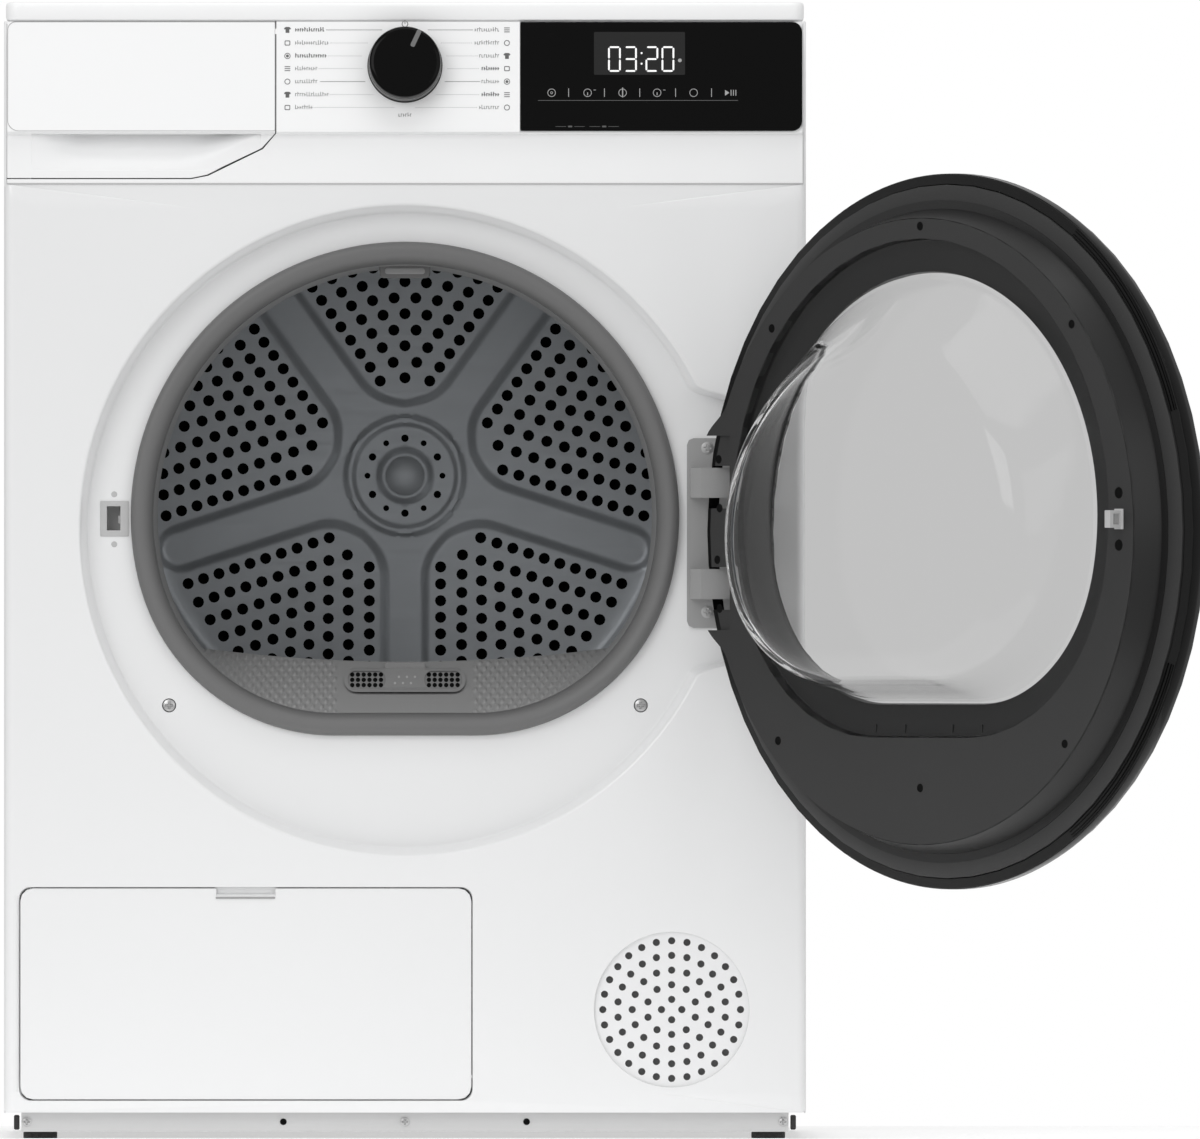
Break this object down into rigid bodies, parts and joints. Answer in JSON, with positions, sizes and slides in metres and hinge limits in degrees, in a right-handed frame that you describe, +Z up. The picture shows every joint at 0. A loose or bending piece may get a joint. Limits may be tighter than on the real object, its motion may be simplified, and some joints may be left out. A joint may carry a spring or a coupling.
{
  "type": "clothes dryer",
  "caption": "Front-loading heat-pump clothes dryer with its round glazed door open, water drawer, program knob, display panel, drum and drive.",
  "frame": {"origin": "on the floor, under the middle of the box that holds the cabinet and its door as it stands open; the cabinet's own middle plane is at x = -0.146 m", "axes": "+Z up, square to the worktop; -Y out of the cabinet's front, so +Y runs from the front to the back; +X to the right of someone facing the front, towards the side that the door is hung on"},
  "size_m": [0.8932, 1.0009, 0.85],
  "materials": {
    "enamel_white": "smooth gloss enamel",
    "plastic_white": "satin moulded",
    "panel_black": "polished",
    "dark_plastic": "fine texture",
    "grey_plastic": "satin moulded",
    "light_grey_plastic": "satin moulded",
    "tank_plastic": "satin, translucent",
    "clear_bowl": "polished",
    "smoked_glass": "polished",
    "drum_steel": "brushed round the drum",
    "plated_steel": "zinc plated",
    "galvanised_steel": "galvanised",
    "motor_aluminium": "as cast",
    "exchanger_fins": "fin stack with copper tubes",
    "black_rubber": "matt",
    "board_green": "printed board",
    "felt_grey": "pressed felt",
    "lever_blue": "moulded"
  },
  "bodies": {
    "cabinet": {"left_side_panel": "enamel_white", "right_side_panel": "enamel_white", "worktop": "plastic_white", "rear_panel": "galvanised_steel", "rear_duct_cover": "galvanised_steel", "base_frame": "grey_plastic", "front_panel": "enamel_white", "control_panel": "plastic_white", "display_window": "panel_black", "control_board": "board_green", "selector_switch": "dark_plastic", "opening_seal": "grey_plastic", "front_bulkhead": "grey_plastic", "drum_lamp_cover": "light_grey_plastic", "drum_front_felt": "felt_grey", "latch_box": "light_grey_plastic", "rear_bulkhead": "galvanised_steel", "drum_bearing": "plated_steel", "drum_belt": "black_rubber", "motor_housing": "motor_aluminium", "fan_housing": "dark_plastic", "compressor": "black_rubber", "evaporator": "exchanger_fins", "condenser_coil": "exchanger_fins", "condensate_pump": "plastic_white", "cable_gland": "black_rubber", "exchanger_cover": "light_grey_plastic", "hinge_plate": "light_grey_plastic", "hinge_pin": "plated_steel"},
    "door": {"door_inner_frame": "dark_plastic", "door_bowl_ring": "panel_black", "door_bowl": "clear_bowl", "door_outer_ring": "panel_black", "door_outer_glass": "smoked_glass", "hinge_leaf": "plated_steel", "door_hook": "plated_steel"},
    "knob": {"program_knob": "panel_black"},
    "water_drawer": {"drawer_front": "plastic_white", "water_tank": "tank_plastic"},
    "filter": {"lint_filter": "grey_plastic"},
    "catch": {"latch_catch": "plated_steel"},
    "drum": {"drum_shell": "drum_steel", "drum_rear_wall": "drum_steel", "drum_lifter_1": "grey_plastic", "drum_lifter_2": "grey_plastic", "drum_lifter_3": "grey_plastic", "drum_shaft": "plated_steel"},
    "left_roller": {"drum_roller_left": "dark_plastic"},
    "right_roller": {"drum_roller_right": "dark_plastic"},
    "rotor": {"motor_shaft": "plated_steel", "fan_impeller": "dark_plastic"},
    "tensioner": {"idler_arm": "plated_steel"},
    "tension_wheel": {"idler_pulley": "dark_plastic"},
    "flap": {"service_flap": "plastic_white"},
    "left_lever": {"cover_lever_left": "lever_blue"},
    "right_lever": {"cover_lever_right": "lever_blue"},
    "foot_1": {"foot_front_left": "black_rubber"},
    "foot_2": {"foot_front_right": "black_rubber"},
    "foot_3": {"foot_rear_left": "black_rubber"},
    "foot_4": {"foot_rear_right": "black_rubber"}
  },
  "joints": [
    {"name": "door_hinge", "type": "hinge", "parent": "cabinet", "child": "door", "pos_m": [0.1018, -0.1115, 0.453], "axis": [0, 0, 1], "range_deg": [-132.2, 28]},
    {"name": "knob_turn", "type": "hinge", "parent": "cabinet", "child": "knob", "pos_m": [-0.146, -0.09102, 0.80251], "axis": [0, -0.9902, 0.1396], "continuous": true},
    {"name": "drawer_slide", "type": "slide", "parent": "cabinet", "child": "water_drawer", "axis": [0, -1, 0], "range_m": [0, 0.36]},
    {"name": "filter_lift", "type": "slide", "parent": "cabinet", "child": "filter", "axis": [0, 0, 1], "range_m": [0, 0.09]},
    {"name": "catch_slide", "type": "slide", "parent": "cabinet", "child": "catch", "axis": [-1, 0, 0], "range_m": [0, 0.0034], "stiffness_N_per_m": 150},
    {"name": "drum_spin", "type": "hinge", "parent": "cabinet", "child": "drum", "pos_m": [-0.146, 0.23, 0.4968], "axis": [0, 1, 0], "continuous": true},
    {"name": "left_roller_spin", "type": "hinge", "parent": "cabinet", "child": "left_roller", "pos_m": [-0.296, -0.014, 0.23181], "axis": [0, 1, 0], "continuous": true},
    {"name": "right_roller_spin", "type": "hinge", "parent": "cabinet", "child": "right_roller", "pos_m": [0.004, -0.014, 0.23181], "axis": [0, 1, 0], "continuous": true},
    {"name": "motor_spin", "type": "hinge", "parent": "cabinet", "child": "rotor", "pos_m": [0.029, 0.3, 0.11], "axis": [0, 1, 0], "continuous": true},
    {"name": "tensioner_swing", "type": "hinge", "parent": "cabinet", "child": "tensioner", "pos_m": [-0.072, 0.236, 0.062], "axis": [0, 1, 0], "range_deg": [-10, 0], "stiffness_Nm_per_rad": 2, "springref_deg": 17.19},
    {"name": "tension_wheel_spin", "type": "hinge", "parent": "tensioner", "child": "tension_wheel", "pos_m": [-0.0865, 0.226, 0.1286], "axis": [0, 1, 0], "continuous": true},
    {"name": "flap_hinge", "type": "hinge", "parent": "cabinet", "child": "flap", "pos_m": [-0.265, -0.0881, 0.031], "axis": [1, 0, 0], "range_deg": [0, 88]},
    {"name": "left_lever_turn", "type": "hinge", "parent": "cabinet", "child": "left_lever", "pos_m": [-0.392, -0.066, 0.114], "axis": [0, 1, 0], "range_deg": [0, 90]},
    {"name": "right_lever_turn", "type": "hinge", "parent": "cabinet", "child": "right_lever", "pos_m": [-0.136, -0.066, 0.114], "axis": [0, 1, 0], "range_deg": [-90, 0]},
    {"name": "foot_1_turn", "type": "hinge", "parent": "cabinet", "child": "foot_1", "pos_m": [-0.419, -0.052, 0.002], "axis": [0, 0, 1], "continuous": true},
    {"name": "foot_2_turn", "type": "hinge", "parent": "cabinet", "child": "foot_2", "pos_m": [0.126, -0.052, 0.002], "axis": [0, 0, 1], "continuous": true},
    {"name": "foot_3_turn", "type": "hinge", "parent": "cabinet", "child": "foot_3", "pos_m": [-0.419, 0.45, 0.002], "axis": [0, 0, 1], "continuous": true},
    {"name": "foot_4_turn", "type": "hinge", "parent": "cabinet", "child": "foot_4", "pos_m": [0.126, 0.45, 0.002], "axis": [0, 0, 1], "continuous": true}
  ],
  "couplings": [
    {"joint": "left_roller_spin", "follows": "drum_spin", "ratio": -15.9},
    {"joint": "right_roller_spin", "follows": "drum_spin", "ratio": -15.9},
    {"joint": "motor_spin", "follows": "drum_spin", "ratio": 28.75},
    {"joint": "tension_wheel_spin", "follows": "drum_spin", "ratio": -14.375}
  ]
}
